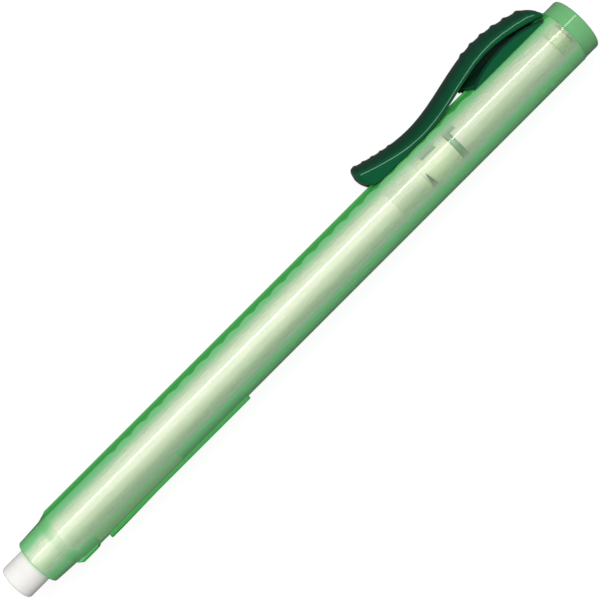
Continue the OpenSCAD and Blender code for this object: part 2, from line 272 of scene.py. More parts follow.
def rings_to_piece(name, rings, closed=False):
    """A closed mesh over rings of points: capped at both ends, or joined end to end."""
    shape = bmesh.new()
    rows = [[shape.verts.new(point) for point in ring] for ring in rings]
    count = len(rows[0])
    for index in range(len(rows) if closed else len(rows) - 1):
        row, after = rows[index], rows[(index + 1) % len(rows)]
        for k in range(count):
            shape.faces.new((row[k], row[(k + 1) % count], after[(k + 1) % count], after[k]))
    if not closed:
        shape.faces.new(rows[0])
        shape.faces.new(rows[-1])
    bmesh.ops.remove_doubles(shape, verts=shape.verts, dist=MERGE_DISTANCE)
    loose = [edge for edge in shape.edges if not edge.link_faces]
    bmesh.ops.delete(shape, geom=loose, context="EDGES")
    bmesh.ops.recalc_face_normals(shape, faces=shape.faces)
    mesh = bpy.data.meshes.new(name)
    shape.to_mesh(mesh)
    shape.free()
    piece = bpy.data.objects.new(name, mesh)
    bpy.context.scene.collection.objects.link(piece)
    return piece


def turned(name, corners):
    """Turns an outline of (x, radius, fillet) corners about the barrel's axis."""
    outline = rounded(corners)
    rings = []
    for step in range(TURN_STEPS):
        angle = 2 * math.pi * step / TURN_STEPS
        rings.append([(p.x, p.y * math.cos(angle), p.y * math.sin(angle)) for p in outline])
    return rings_to_piece(name, rings, closed=True)


def plate(name, corners, half, edge=0):
    """A plate from (x, y, fillet) corners, its width across the middle plane, with softened edges."""
    outline = rounded(corners)
    levels = [(-half, 0), (half, 0)]
    if edge:
        levels = [(-half, edge), (edge - half, 0), (half - edge, 0), (half, edge)]
    rings = []
    for z, inset in levels:
        rings.append([(p.x, p.y, z) for p in shrunk(outline, inset)])
    return rings_to_piece(name, rings)


def shrunk(outline, inset):
    """Moves each side of a closed outline inwards by an inset."""
    if not inset:
        return outline
    area = sum(a.x * b.y - b.x * a.y for a, b in zip(outline, outline[1:] + outline[:1]))
    inward = math.copysign(1, area)
    result = []
    for index, here in enumerate(outline):
        back = (here - outline[index - 1]).normalized()
        ahead = (outline[(index + 1) % len(outline)] - here).normalized()
        normals = [inward * Vector((-side.y, side.x)) for side in (back, ahead)]
        middle = (normals[0] + normals[1]).normalized()
        result.append(here + middle * inset / max(middle.dot(normals[0]), SHARP_CORNER))
    return result


def block(name, x0, x1, r0, r1, half):
    """A block on the clip's side of the axis, between two radii."""
    return plate(name, [(x0, -r0, 0), (x1, -r0, 0), (x1, -r1, 0), (x0, -r1, 0)], half)


def slot_cutter(name, x0, x1, half, r1):
    """A round-ended bar across the wall on the clip's side, up to a radius."""
    corners = [(x0, -half, half), (x1, -half, half), (x1, half, half), (x0, half, half)]
    outline = rounded(corners, steps=16)
    return rings_to_piece(name, [[(p.x, -r, p.y) for p in outline] for r in (0, r1)])


def settle(piece):
    """Applies a piece's modifiers to its mesh."""
    depsgraph = bpy.context.evaluated_depsgraph_get()
    mesh = bpy.data.meshes.new_from_object(piece.evaluated_get(depsgraph))
    piece.modifiers.clear()
    piece.data = mesh


def combine(piece, tool, operation="DIFFERENCE"):
    """Cuts a tool shape away from a piece, joins it on, or keeps what both share."""
    modifier = piece.modifiers.new("combine", "BOOLEAN")
    modifier.operation = operation
    modifier.solver = "MANIFOLD"
    modifier.object = tool
    settle(piece)
    bpy.data.objects.remove(tool)
    return piece


def add(tree, kind, sockets=None, **settings):
    """Adds a node to a tree, sets its properties, and sets or links its sockets."""
    node = tree.nodes.new(kind)
    for name, value in settings.items():
        setattr(node, name, value)
    for key, value in (sockets or {}).items():
        if isinstance(value, bpy.types.Node):
            value = value.outputs[0]
        if isinstance(value, bpy.types.NodeSocket):
            tree.links.new(value, node.inputs[key])
        else:
            node.inputs[key].default_value = value
    return node


def rule_tree(name, sizes):
    """A geometry tree with a named float input for each size, and the sockets that give them."""
    tree = bpy.data.node_groups.new(name, "GeometryNodeTree")
    tree.interface.new_socket("Geometry", in_out="INPUT", socket_type="NodeSocketGeometry")
    for size in sizes:
        tree.interface.new_socket(size, in_out="INPUT", socket_type="NodeSocketFloat")
    tree.interface.new_socket("Geometry", in_out="OUTPUT", socket_type="NodeSocketGeometry")
    given = tree.nodes.new("NodeGroupInput")
    return tree, given.outputs


def end_tree(tree, geometry, material):
    """Ends a geometry tree in real geometry with its material."""
    real = add(tree, "GeometryNodeRealizeInstances", {"Geometry": geometry})
    coated = add(tree, "GeometryNodeSetMaterial", {
        "Geometry": real, "Material": material})
    out = tree.nodes.new("NodeGroupOutput")
    tree.links.new(coated.outputs[0], out.inputs[0])
    return tree


def apply_rule(piece, tree, **sizes):
    """Runs a geometry tree on a piece with the given sizes, and keeps the result."""
    modifier = piece.modifiers.new(tree.name, "NODES")
    modifier.node_group = tree
    for item in tree.interface.items_tree:
        if item.in_out == "INPUT" and item.name in sizes:
            modifier[item.identifier] = float(sizes[item.name])
    settle(piece)


def dress(piece, material, nodes=(), body=None):
    """Turns a finished shape into metres, gives it its material, and hands it to the frame."""
    piece.data.transform(Matrix.Scale(MM, 4))
    piece.data.materials.clear()
    piece.data.materials.append(material)
    piece.data.shade_smooth()
    piece.data.set_sharp_from_angle(angle=SHARP_EDGE)
    if body:
        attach(piece, body)
    if nodes:
        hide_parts(*nodes)
    return piece


# Materials


def linear(hex_colour):
    """The linear RGBA of an sRGB hex colour."""
    parts = [int(hex_colour[i : i + 2], 16) / 255 for i in (0, 2, 4)]
    return [c / 12.92 if c <= 0.04045 else ((c + 0.055) / 1.055) ** 2.4 for c in parts] + [1]


def blank(name):
    """A new material with its tree and its output node."""
    material = bpy.data.materials.new(name)
    material.use_nodes = True
    material.node_tree.nodes.clear()
    return material, material.node_tree, material.node_tree.nodes.new("ShaderNodeOutputMaterial")


def noise_on(tree, size_mm, stretch=1.0, detail=2.0):
    """Noise on the piece itself, with features of a size in millimetres, stretched along the barrel."""
    place = add(tree, "ShaderNodeTexCoord")
    laid = add(tree, "ShaderNodeMapping", {
        "Vector": place.outputs["Object"], "Scale": (1 / stretch, 1, 1)})
    return add(tree, "ShaderNodeTexNoise", {
        "Vector": laid, "Scale": 1 / (size_mm * MM), "Detail": detail}).outputs["Fac"]


def place_on(tree):
    """A point's place on its piece in millimetres, by axis."""
    metres = add(tree, "ShaderNodeTexCoord").outputs["Object"]
    millimetres = add(tree, "ShaderNodeVectorMath", {0: metres, "Scale": 1 / MM}, operation="SCALE")
    return add(tree, "ShaderNodeSeparateXYZ", {"Vector": millimetres}).outputs


# Half the width of a soft border between two parts of one material, in millimetres
BORDER = 0.05


def barrel_parts(tree, place):
    """Where the barrel is thick or thin: its rails down to the rack, its ribs, its flats."""
    x, y, z = (place[axis] for axis in "XYZ")
    from_tooth = add(tree, "ShaderNodeMath", {
        0: add(tree, "ShaderNodeMath", {0: x, 1: FIRST_SCALLOP_X}, operation="SUBTRACT"),
        1: CLICK_PITCH / 2}, operation="PINGPONG")
    rise = add(tree, "ShaderNodeMath", {
        0: add(tree, "ShaderNodeMapRange", {"Value": from_tooth, "From Max": SCALLOP_W / 2}),
        1: 2.0}, operation="POWER")
    in_rack = add(tree, "ShaderNodeMath", {0: x, 1: SLOT_FRONT_X}, operation="LESS_THAN")
    rack_edge = add(tree, "ShaderNodeMath", {
        0: add(tree, "ShaderNodeMath", {0: rise, 1: in_rack}, operation="MULTIPLY"),
        1: TOOTH_VALLEY_R - TOOTH_TIP_R, 2: -TOOTH_VALLEY_R}, operation="MULTIPLY_ADD")
    past_edge = add(tree, "ShaderNodeMath", {0: rack_edge, 1: y}, operation="SUBTRACT")
    rails = add(tree, "ShaderNodeMapRange", {
        "Value": past_edge, "From Min": -BORDER, "From Max": BORDER})
    radius = add(tree, "ShaderNodeVectorMath", {
        0: add(tree, "ShaderNodeCombineXYZ", {"Y": y, "Z": z})}, operation="LENGTH").outputs["Value"]
    raised = add(tree, "ShaderNodeMapRange", {
        "Value": radius, "From Min": BARREL_R + 0.03, "From Max": BARREL_R + 0.1})
    over_rib = add(tree, "ShaderNodeMath", {
        0: add(tree, "ShaderNodeMapRange", {"Value": y, "From Min": ROOT_R, "From Max": ROOT_R + 0.2}),
        1: add(tree, "ShaderNodeMapRange", {
            "Value": x, "From Min": RIB_REAR_X, "From Max": RIB_REAR_X + 0.3})},
        operation="MULTIPLY")
    # A flat's points lie at one distance from the axis along its own direction
    lean = math.radians(FLAT_LEAN)
    beside = add(tree, "ShaderNodeMath", {0: z}, operation="ABSOLUTE")
    out_z = add(tree, "ShaderNodeMath", {
        0: beside, 1: math.sin(lean), 2: 0.03 - FLAT_R}, operation="MULTIPLY_ADD")
    flats = add(tree, "ShaderNodeMath", {
        0: add(tree, "ShaderNodeMath", {
            0: y, 1: math.cos(lean), 2: out_z}, operation="MULTIPLY_ADD"),
        1: 0.0}, operation="GREATER_THAN")
    for limit in (
            add(tree, "ShaderNodeMath", {
                0: x, 1: (FLAT_REAR_X + FLAT_FRONT_X) / 2,
                2: (FLAT_FRONT_X - FLAT_REAR_X) / 2}, operation="COMPARE"),
            add(tree, "ShaderNodeMath", {0: beside, 1: RIB_HALF + BORDER}, operation="GREATER_THAN")):
        flats = add(tree, "ShaderNodeMath", {0: flats, 1: limit}, operation="MULTIPLY")
    # The far wall's face in the bore
    bore = add(tree, "ShaderNodeMath", {0: radius, 1: BORE_R + 0.1}, operation="LESS_THAN")
    leaving = add(tree, "ShaderNodeNewGeometry").outputs["Backfacing"]
    far_wall = add(tree, "ShaderNodeMath", {
        0: bore, 1: add(tree, "ShaderNodeMath", {0: 1.0, 1: leaving}, operation="SUBTRACT")},
        operation="MULTIPLY")
    solid = add(tree, "ShaderNodeMath", {0: rails, 1: raised}, operation="MAXIMUM")
    return solid, over_rib, flats, far_wall


def plug_parts(tree, place):
    """The plug's flange is solid, and its spigot thin."""
    flange = add(tree, "ShaderNodeMapRange", {
        "Value": place["X"], "From Min": TAIL_X + 0.3, "From Max": TAIL_X - 0.1})
    return flange, 0.0, 0.0, 0.0


FLAT_GREEN = "a4dca0"
LIT_GREEN = "9cdc98"


def clear_styrene(name, pale, edge, far, solid, parts):
    """Clear green styrene-acrylonitrile from a polished mould.

    Hard and glossy: pale where it is looked through squarely, and a full, slightly clouded green
    where the light runs along the wall (edge), through both walls (far) or in thick parts (solid).
    """
    material, tree, out = blank(name)
    full, ribs, flats, far_wall = parts(tree, place_on(tree))
    along = add(tree, "ShaderNodeMapRange", {
        "Value": add(tree, "ShaderNodeLayerWeight", {"Blend": 0.5}).outputs["Facing"],
        "From Min": 0.035, "From Max": 0.335}, interpolation_type="SMOOTHSTEP")
    tint = linear(pale)
    for factor, colour in ((along, edge), (far_wall, far), (ribs, edge), (flats, FLAT_GREEN),
                           (full, solid)):
        tint = add(tree, "ShaderNodeMix", {
            0: factor, 6: tint, 7: linear(colour)}, data_type="RGBA").outputs[2]
    thick = add(tree, "ShaderNodeMath", {0: full, 1: ribs}, operation="MAXIMUM")
    haze = add(tree, "ShaderNodeMapRange", {"Value": along, "To Min": 0.1, "To Max": 0.75})
    haze = add(tree, "ShaderNodeMapRange", {"Value": thick, "To Min": haze, "To Max": 0.85})
    clearness = add(tree, "ShaderNodeMath", {0: 1.0, 1: haze}, operation="SUBTRACT")
    ripple = add(tree, "ShaderNodeBump", {
        "Height": noise_on(tree, 6, stretch=12, detail=0), "Distance": 0.0006 * MM, "Strength": 1.0})
    surface = add(tree, "ShaderNodeBsdfPrincipled", {
        "Base Color": tint, "Roughness": 0.07, "IOR": 1.5, "Transmission Weight": clearness,
        "Coat Weight": 0.2, "Coat Roughness": 0.35, "Normal": ripple})
    # Lamps are let in through the wall, greener where they meet it at a slant
    let_in = add(tree, "ShaderNodeMix", {
        0: along, 6: linear(pale), 7: linear(LIT_GREEN)}, data_type="RGBA")
    clear = add(tree, "ShaderNodeBsdfTransparent", {"Color": let_in.outputs[2]})
    rays = add(tree, "ShaderNodeLightPath")
    lamps_pass = add(tree, "ShaderNodeMixShader", {
        0: rays.outputs["Is Shadow Ray"], 1: surface, 2: clear})
    inside = add(tree, "ShaderNodeVolumeAbsorption", {"Color": linear("9ccc90"), "Density": 60.0})
    tree.links.new(lamps_pass.outputs[0], out.inputs["Surface"])
    tree.links.new(inside.outputs[0], out.inputs["Volume"])
    return material


def dark_abs():
    """Opaque dark green ABS from a polished mould: black-green in shade, with sharp bright edges, and
    painted shade on its crown and in its recess.
    """
    material, tree, out = blank("dark_green_abs")
    colour = add(tree, "ShaderNodeMix", {
        0: noise_on(tree, 7, stretch=2), 6: linear("02502e"), 7: linear("045834")}, data_type="RGBA")
    # Painted shade: the crown faces away from the lamps and is painted darker than the sides
    facing = add(tree, "ShaderNodeSeparateXYZ", {
        "Vector": add(tree, "ShaderNodeTexCoord").outputs["Normal"]})
    crown_shade = add(tree, "ShaderNodeMapRange", {
        "Value": facing.outputs["Y"], "From Min": -0.35, "From Max": -0.75})
    colour = add(tree, "ShaderNodeMix", {
        0: crown_shade, 6: colour.outputs[2], 7: linear("0a3424")}, data_type="RGBA")
    # Painted shade: little light comes back out of the recess between thumb rest and saddle, so an
    # occlusion test paints the colour darker there
    open_sky = add(tree, "ShaderNodeAmbientOcclusion", {"Distance": 3 * MM}, samples=8)
    lit = add(tree, "ShaderNodeMapRange", {
        "Value": open_sky.outputs["AO"], "From Min": 0.45, "From Max": 0.85})
    colour = add(tree, "ShaderNodeMix", {
        0: lit, 6: linear("042414"), 7: colour.outputs[2]}, data_type="RGBA")
    peel = add(tree, "ShaderNodeBump", {
        "Height": noise_on(tree, 0.8, detail=1), "Distance": 0.004 * MM, "Strength": 1.0})
    rubbed = add(tree, "ShaderNodeMapRange", {
        "Value": noise_on(tree, 2.5, detail=4), "To Min": 0.06, "To Max": 0.11})
    surface = add(tree, "ShaderNodeBsdfPrincipled", {
        "Base Color": colour.outputs[2], "Roughness": rubbed, "IOR": 1.53,
        "Specular IOR Level": 0.65, "Normal": peel})
    tree.links.new(surface.outputs[0], out.inputs["Surface"])
    return material


def white_vinyl():
    """White plasticised vinyl, extruded and cut: soft, matte and finely pitted, faintly greyed."""
    material, tree, out = blank("white_vinyl")
    colour = add(tree, "ShaderNodeMix", {
        0: noise_on(tree, 1.6, detail=5), 6: linear("f6f5f2"), 7: linear("eceae6")}, data_type="RGBA")
    # The real pits are about 0.1 mm wide, and are drawn at 0.4 mm so that they show
    pits = add(tree, "ShaderNodeBump", {
        "Height": noise_on(tree, 0.4, detail=3), "Distance": 0.02 * MM, "Strength": 1.0})
    surface = add(tree, "ShaderNodeBsdfPrincipled", {
        "Base Color": colour.outputs[2], "Roughness": 0.62, "Specular IOR Level": 0.35,
        "Normal": pits})
    tree.links.new(surface.outputs[0], out.inputs["Surface"])
    return material


def milky_polypropylene():
    """Natural polypropylene: milky and soft to the light, which spreads inside its thin walls; its
    disc, notch web and the wall over the legs carry painted green shade.
    """
    material, tree, out = blank("milky_polypropylene")
    colour = add(tree, "ShaderNodeMix", {
        0: noise_on(tree, 3, stretch=3), 6: linear("f0f4e6"), 7: linear("e6ecd8")}, data_type="RGBA")
    # Painted shade: the disc, the web left in the notch and the wall over the two legs are painted a
    # darker green, standing in for the shade and the green seen through them
    place = place_on(tree)
    x, y, z = (place[axis] for axis in "XYZ")
    green = add(tree, "ShaderNodeMath", {
        0: x, 1: (DISC_REAR_X + NECK_REAR_X) / 2, 2: DISC_W}, operation="COMPARE")
    from_notch = add(tree, "ShaderNodeMath", {
        0: add(tree, "ShaderNodeMath", {0: x, 1: NOTCH_X}, operation="SUBTRACT")},
        operation="ABSOLUTE")
    notch_depth = add(tree, "ShaderNodeMath", {
        0: from_notch, 1: (NOTCH_MOUTH_Y - NOTCH_TIP_Y) / NOTCH_HALF, 2: NOTCH_TIP_Y},
        operation="MULTIPLY_ADD")
    in_notch = add(tree, "ShaderNodeMath", {
        0: add(tree, "ShaderNodeMath", {0: y, 1: notch_depth}, operation="GREATER_THAN"),
        1: add(tree, "ShaderNodeMath", {
            0: z, 1: 0.0, 2: NOTCH_WEB_HALF + BORDER}, operation="COMPARE")},
        operation="MULTIPLY")
    green = add(tree, "ShaderNodeMath", {0: green, 1: in_notch}, operation="MAXIMUM")
    for low, high in ((REAR_LEG_X, REAR_LEG_X + LEG_LEN), (FRONT_LEG_X, CATCH_FRONT_X)):
        along = add(tree, "ShaderNodeMath", {
            0: x, 1: (low + high) / 2, 2: (high - low) / 2}, operation="COMPARE")
        across = add(tree, "ShaderNodeMath", {0: y, 1: PATCH_Y, 2: PATCH_HALF}, operation="COMPARE")
        patch = add(tree, "ShaderNodeMath", {0: along, 1: across}, operation="MULTIPLY")
        green = add(tree, "ShaderNodeMath", {0: green, 1: patch}, operation="MAXIMUM")
    # The painted shade's darker green
    colour = add(tree, "ShaderNodeMix", {
        0: green, 6: colour.outputs[2], 7: linear("489c64")}, data_type="RGBA")
    surface = add(tree, "ShaderNodeBsdfPrincipled", {
        "Base Color": colour.outputs[2], "Roughness": 0.4, "IOR": 1.49, "Subsurface Weight": 0.8,
        "Subsurface Radius": (1, 1, 0.9), "Subsurface Scale": 2 * MM})
    tree.links.new(surface.outputs[0], out.inputs["Surface"])
    return material


barrel_plastic = clear_styrene(
    "clear_green_styrene", pale="fff6f6", edge="80d48e", far="88cc92", solid="46ac56",
    parts=barrel_parts)
plug_plastic = clear_styrene(
    "clear_green_styrene_thick", pale="eef2e6", edge="80d48e", far="88cc92", solid="78be80",
    parts=plug_parts)
slider_plastic = dark_abs()
eraser_vinyl = white_vinyl()
holder_plastic = milky_polypropylene()


# Pieces


def scallop_tree(material):
    """Cuts a row of scallops into the rack: one arc-topped space for each click."""
    tree, given = rule_tree("scallop_row", [
        "Spaces", "Pitch", "First", "Valley", "Radius", "Width", "Half Width"])
    depth = add(tree, "ShaderNodeMath", {0: given["Half Width"], 1: 2.0}, operation="MULTIPLY")
    round_bar = add(tree, "GeometryNodeMeshCylinder", {
        "Vertices": 128, "Radius": given["Radius"], "Depth": depth})
    window_size = add(tree, "ShaderNodeCombineXYZ", {
        "X": given["Width"], "Y": WINDOW_TALL, "Z": WINDOW_WIDE})
    window = add(tree, "GeometryNodeMeshCube", {"Size": window_size})
    window_y = add(tree, "ShaderNodeMath", {0: 0.0, 1: given["Radius"]}, operation="SUBTRACT")
    window_place = add(tree, "ShaderNodeCombineXYZ", {"Y": window_y})
    window_there = add(tree, "GeometryNodeTransform", {
        "Geometry": window, "Translation": window_place})
    space = add(tree, "GeometryNodeMeshBoolean", operation="INTERSECT", solver="MANIFOLD")
    tree.links.new(round_bar.outputs["Mesh"], space.inputs["Mesh 2"])
    tree.links.new(window_there.outputs[0], space.inputs["Mesh 2"])
    centre_y = add(tree, "ShaderNodeMath", {
        0: given["Radius"], 1: given["Valley"]}, operation="SUBTRACT")
    start = add(tree, "ShaderNodeCombineXYZ", {"X": given["First"], "Y": centre_y})
    step = add(tree, "ShaderNodeCombineXYZ", {"X": given["Pitch"]})
    row = add(tree, "GeometryNodeMeshLine", {
        "Count": given["Spaces"], "Start Location": start, "Offset": step})
    spaces = add(tree, "GeometryNodeInstanceOnPoints", {
        "Points": row, "Instance": space})
    real = add(tree, "GeometryNodeRealizeInstances", {"Geometry": spaces})
    cut = add(tree, "GeometryNodeMeshBoolean", {
        "Mesh 1": given["Geometry"], "Mesh 2": real},
        operation="DIFFERENCE", solver="MANIFOLD")
    return end_tree(tree, cut.outputs["Mesh"], material)


def barrel():
    """The tube with its nose, rails, rack, grip rib and lug."""
    piece = turned("barrel_tube", [
        (TAIL_X, BORE_R, 0.1), (TAIL_X, BARREL_R, 0.12), (SHOULDER_X, BARREL_R, 1.2),
        (NOSE_ROOT_X, NOSE_ROOT_R, 0.8), (NOSE_X, NOSE_RIM_R, 0.25), (NOSE_X, NOSE_BORE_R, 0.15),
        (GUIDE_FRONT_X, NOSE_BORE_R, 3), (GUIDE_REAR_X, BORE_R, 6)])
    rails = plate("rails", [
        (TAIL_X, -BARREL_R, 0.12), (SHOULDER_X, -BARREL_R, 0.3), (SHOULDER_X, -ROOT_R, 0),
        (TAIL_X, -ROOT_R, 0)], RAIL_HALF, 0.12)
    combine(piece, rails, "UNION")
    rib = plate("grip_rib", [
        (RIB_REAR_X, ROOT_R, 0), (RIB_REAR_X, RIB_TOP, 0.2), (RIB_RISE_X, RIB_TOP, 4),
        (RIB_CREST_X, RIB_FRONT_TOP - 0.02, 3), (RIB_FRONT_X, RIB_FRONT_TOP, 0.2),
        (RIB_FRONT_X, ROOT_R, 0)], RIB_HALF, 0.15)
    combine(piece, rib, "UNION")
    lug = plate("lug", [
        (LUG_REAR_X, ROOT_R, 0), (LUG_REAR_X + LUG_REAR_RAMP, LUG_TOP, 0.6),
        (NOSE_ROOT_X - LUG_FRONT_RAMP, LUG_TOP, 0.4), (NOSE_ROOT_X, ROOT_R, 0)], LUG_HALF, 0.2)
    combine(piece, lug, "UNION")
    combine(piece, slot_cutter("slot", SLOT_REAR_X, SLOT_FRONT_X, SLOT_HALF, CLEAR_R))
    combine(piece, block(
        "channel", SLOT_REAR_X, SLOT_FRONT_X, CHANNEL_LOW_R, TOOTH_TIP_R, CHANNEL_HALF))
    for side in (-1, 1):
        flat = plate("flat", [
            (FLAT_REAR_X, FLAT_R, 0), (FLAT_FRONT_X, FLAT_R, 0), (FLAT_FRONT_X, CLEAR_R, 0),
            (FLAT_REAR_X, CLEAR_R, 0)], FLAT_CUT_HALF)
        flat.data.transform(Matrix.Rotation(math.radians(side * FLAT_LEAN), 4, "X"))
        combine(piece, flat)
    apply_rule(piece, scallop_tree(barrel_plastic), **{
        "Spaces": CLICKS + 2, "Pitch": CLICK_PITCH, "First": FIRST_SCALLOP_X,
        "Valley": TOOTH_VALLEY_R, "Radius": SCALLOP_R, "Width": SCALLOP_CUT_W,
        "Half Width": CHANNEL_HALF})
    return dress(piece, barrel_plastic, ["barrel"], "barrel")


def tail_plug():
    """The plug in the tube's end: a flange with a thin spigot behind it."""
    piece = turned("tail_plug_moulding", [
        (0, 0, 0), (0, FLANGE_R, 0.35), (TAIL_X - 0.01, FLANGE_R, 0.12), (TAIL_X - 0.01, SPIGOT_R, 0),
        (SPIGOT_X, SPIGOT_R, 0.3), (SPIGOT_X, SPIGOT_BORE_R, 0.1), (TAIL_X / 2, SPIGOT_BORE_R, 0.3),
        (TAIL_X / 2, 0, 0)])
    combine(piece, block(
        "web_way", SLOT_REAR_X - 0.5, SPIGOT_X + 1, CHANNEL_LOW_R, BARREL_R, WEB_WAY_HALF))
    return dress(piece, plug_plastic, ["tail_plug"], "barrel")


def eraser_stick():
    """The round stick, its working end a little worn."""
    piece = turned("eraser_stick", [
        (ERASER_REAR_X, 0, 0), (ERASER_REAR_X, ERASER_R, 0.2), (ERASER_FRONT_X, ERASER_R, 0.4),
        (ERASER_FRONT_X, 0, 0)])
    return dress(piece, eraser_vinyl, ["eraser"], "eraser")


def eraser_cup():
    """The holder: cup, neck, guide disc and tube, with its flat, leg pockets and wedge notch."""
    piece = turned("eraser_cup", [
        (TUBE_REAR_X, TUBE_BORE_R, 0.1), (TUBE_REAR_X, TUBE_R, 0.1), (DISC_REAR_X, TUBE_R, 0.15),
        (DISC_REAR_X, DISC_R, 0.1), (NECK_REAR_X, DISC_R, 0.1), (NECK_REAR_X, NECK_R, 0.15),
        (CUP_REAR_X, NECK_R, 0.15), (CUP_REAR_X, CUP_R, 0.15), (CUP_FRONT_X, CUP_R, 0.1),
        (CUP_FRONT_X, CUP_BORE_R, 0.1), (CUP_FLOOR_X, CUP_BORE_R, 0.1), (CUP_FLOOR_X, 0, 0),
        (DISC_REAR_X, 0, 0), (DISC_REAR_X, TUBE_BORE_R, 0.15)])
    combine(piece, block("flat", DISC_REAR_X - 1, NECK_REAR_X, DISC_FLAT_R, BARREL_R, BORE_R))
    for leg_x in (FRONT_LEG_X, REAR_LEG_X):
        combine(piece, block("pocket", leg_x - LEG_GAP, leg_x + LEG_LEN + LEG_GAP, LEG_POCKET_R,
                             BORE_R, LEG_HALF + LEG_GAP))
    for side in (-1, 1):
        notch = plate("notch", [
            (NOTCH_X, NOTCH_TIP_Y, 0.1), (NOTCH_X - NOTCH_HALF, NOTCH_MOUTH_Y, 0),
            (NOTCH_X + NOTCH_HALF, NOTCH_MOUTH_Y, 0)], NOTCH_CUT_HALF)
        notch.data.transform(Matrix.Translation((0, 0, side * (NOTCH_CUT_HALF + NOTCH_WEB_HALF))))
        combine(piece, notch)
    return dress(piece, holder_plastic, ["eraser_holder"], "carriage")


def barrel_space():
    """The space that the barrel and its rails need under what rides over them."""
    space = turned("barrel_space", [
        (ROOM_REAR_X, 0, 0), (ROOM_REAR_X, RIDE_R, 0), (ROOM_FRONT_X, RIDE_R, 0), (ROOM_FRONT_X, 0, 0)])
    rails = block("rail_space", ROOM_REAR_X, ROOM_FRONT_X, ROOM_LOW_R, RIDE_R, RAIL_HALF + RIDE_GAP)
    return combine(space, rails, "UNION")


def cubic(x, x0, h0, m0, x1, h1, m1):
    """Cubic from height h0 and slope m0 at x0 to height h1 and slope m1 at x1."""
    length = x1 - x0
    u = (x - x0) / length
    return (h0 * (2 * u**3 - 3 * u**2 + 1) + m0 * length * (u**3 - 2 * u**2 + u)
            + h1 * (3 * u**2 - 2 * u**3) + m1 * length * (u**3 - u**2))


def top_line(x):
    """Height of the clip's top line, before its ends are rounded."""
    if x < HUMP_X:
        return cubic(x, REST_REAR_X, REST_REAR_H, REST_REAR_SLOPE, HUMP_X, HUMP_H, 0)
    if x < WAIST_X:
        return cubic(x, HUMP_X, HUMP_H, 0, WAIST_X, WAIST_H, 0)
    return cubic(x, WAIST_X, WAIST_H, 0, CLIP_FRONT_X, TOE_H, TOE_SLOPE)


def round_end(distance, size):
    """Quarter-ellipse from 0 at an end to 1 at a distance of size from it, blunt at its very tip."""
    blunt = 0.0004
    return 1 if distance >= size else math.sqrt(max(blunt, 1 - (1 - distance / size) ** 2))


def top_height(x):
    """Height of the clip's crest over the barrel's."""
    if x < HUMP_X:
        return REAR_TIP_H + (top_line(x) - REAR_TIP_H) * round_end(x - SLIDER_X, REAR_TIP_LEN)
    return TOE_TIP_H + (top_line(x) - TOE_TIP_H) * round_end(CLIP_FRONT_X - x, TOE_TIP_LEN)


def low_height(x):
    """Height of the clip's lower edge over the barrel's crest."""
    if x < WAIST_X:
        return top_line(x) - CLIP_T
    level = WAIST_H - CLIP_T
    return level + (TOE_TIP_H - level) * (1 - round_end(CLIP_FRONT_X - x, SOLE_TIP_LEN))


def clip_section(x, arc_steps=18):
    """Closed cross-section of the clip at x: a crowned top over flat sides, with rounded edges."""
    top = BARREL_R + top_height(x)
    low = min(BARREL_R + low_height(x), top - LEAST_T)
    along = (x - SLIDER_X) / CLIP_LEN
    drop = min(CROWN_DROP + math.sin(math.pi * along), CROWN_DROP_SHARE * (top - low))
    arc_r = (CLIP_HALF**2 + drop**2) / (2 * drop)
    end = min(x - SLIDER_X, CLIP_FRONT_X - x)
    half = CLIP_HALF - CORNER_LEN * (1 - round_end(end, CORNER_LEN))
    edge_y = arc_r - top - math.sqrt(arc_r**2 - half**2)
    spread = math.asin(half / arc_r) - EDGE_ROUND / arc_r
    crown = []
    for step in range(arc_steps + 1):
        angle = spread * (2 * step / arc_steps - 1)
        crown.append((arc_r * math.sin(angle), arc_r - top - arc_r * math.cos(angle), 0))
    corners = [(-half, -low, LOW_EDGE_ROUND), (-half, edge_y, EDGE_ROUND), *crown,
               (half, edge_y, EDGE_ROUND), (half, -low, LOW_EDGE_ROUND)]
    return [(x, p.y, p.x) for p in rounded(corners)]


def rib_tree(material):
    """Raises a row of narrow ridges across the crown, which fade towards its sides."""
    tree, given = rule_tree("rib_row", ["First", "Pitch", "Ribs", "Height", "Half Width", "Level"])
    place = add(tree, "ShaderNodeSeparateXYZ", {"Vector": add(tree, "GeometryNodeInputPosition")})
    along = add(tree, "ShaderNodeMath", {
        0: place.outputs["X"], 1: given["First"]}, operation="SUBTRACT")
    turn = add(tree, "ShaderNodeMath", {0: along, 1: given["Pitch"]}, operation="DIVIDE")
    # A raised cosine once for each rib, sharpened by its third power
    wave = add(tree, "ShaderNodeMath", {
        0: add(tree, "ShaderNodeMath", {0: turn, 1: 2 * math.pi}, operation="MULTIPLY")},
        operation="COSINE")
    ridge = add(tree, "ShaderNodeMath", {
        0: add(tree, "ShaderNodeMapRange", {"Value": wave, "From Min": -1.0}), 1: 3.0},
        operation="POWER")
    last = add(tree, "ShaderNodeMath", {0: given["Ribs"], 1: 0.5}, operation="SUBTRACT")
    limits = [
        add(tree, "ShaderNodeMath", {0: turn, 1: -0.5}, operation="GREATER_THAN"),
        add(tree, "ShaderNodeMath", {0: turn, 1: last}, operation="LESS_THAN"),
        add(tree, "ShaderNodeMath", {0: place.outputs["Y"], 1: given["Level"]}, operation="LESS_THAN")]
    sideways = add(tree, "ShaderNodeMath", {
        0: place.outputs["Z"], 1: given["Half Width"]}, operation="DIVIDE")
    across = add(tree, "ShaderNodeMath", {
        0: sideways, 1: math.radians(85)}, operation="MULTIPLY")
    factors = limits + [
        add(tree, "ShaderNodeMath", {0: across}, operation="COSINE"), given["Height"]]
    rise = ridge
    for factor in factors:
        rise = add(tree, "ShaderNodeMath", {0: rise, 1: factor}, operation="MULTIPLY")
    push = add(tree, "ShaderNodeCombineXYZ", {
        "Y": add(tree, "ShaderNodeMath", {0: 0.0, 1: rise}, operation="SUBTRACT")})
    raised = add(tree, "GeometryNodeSetPosition", {"Geometry": given["Geometry"], "Offset": push})
    return end_tree(tree, raised, material)


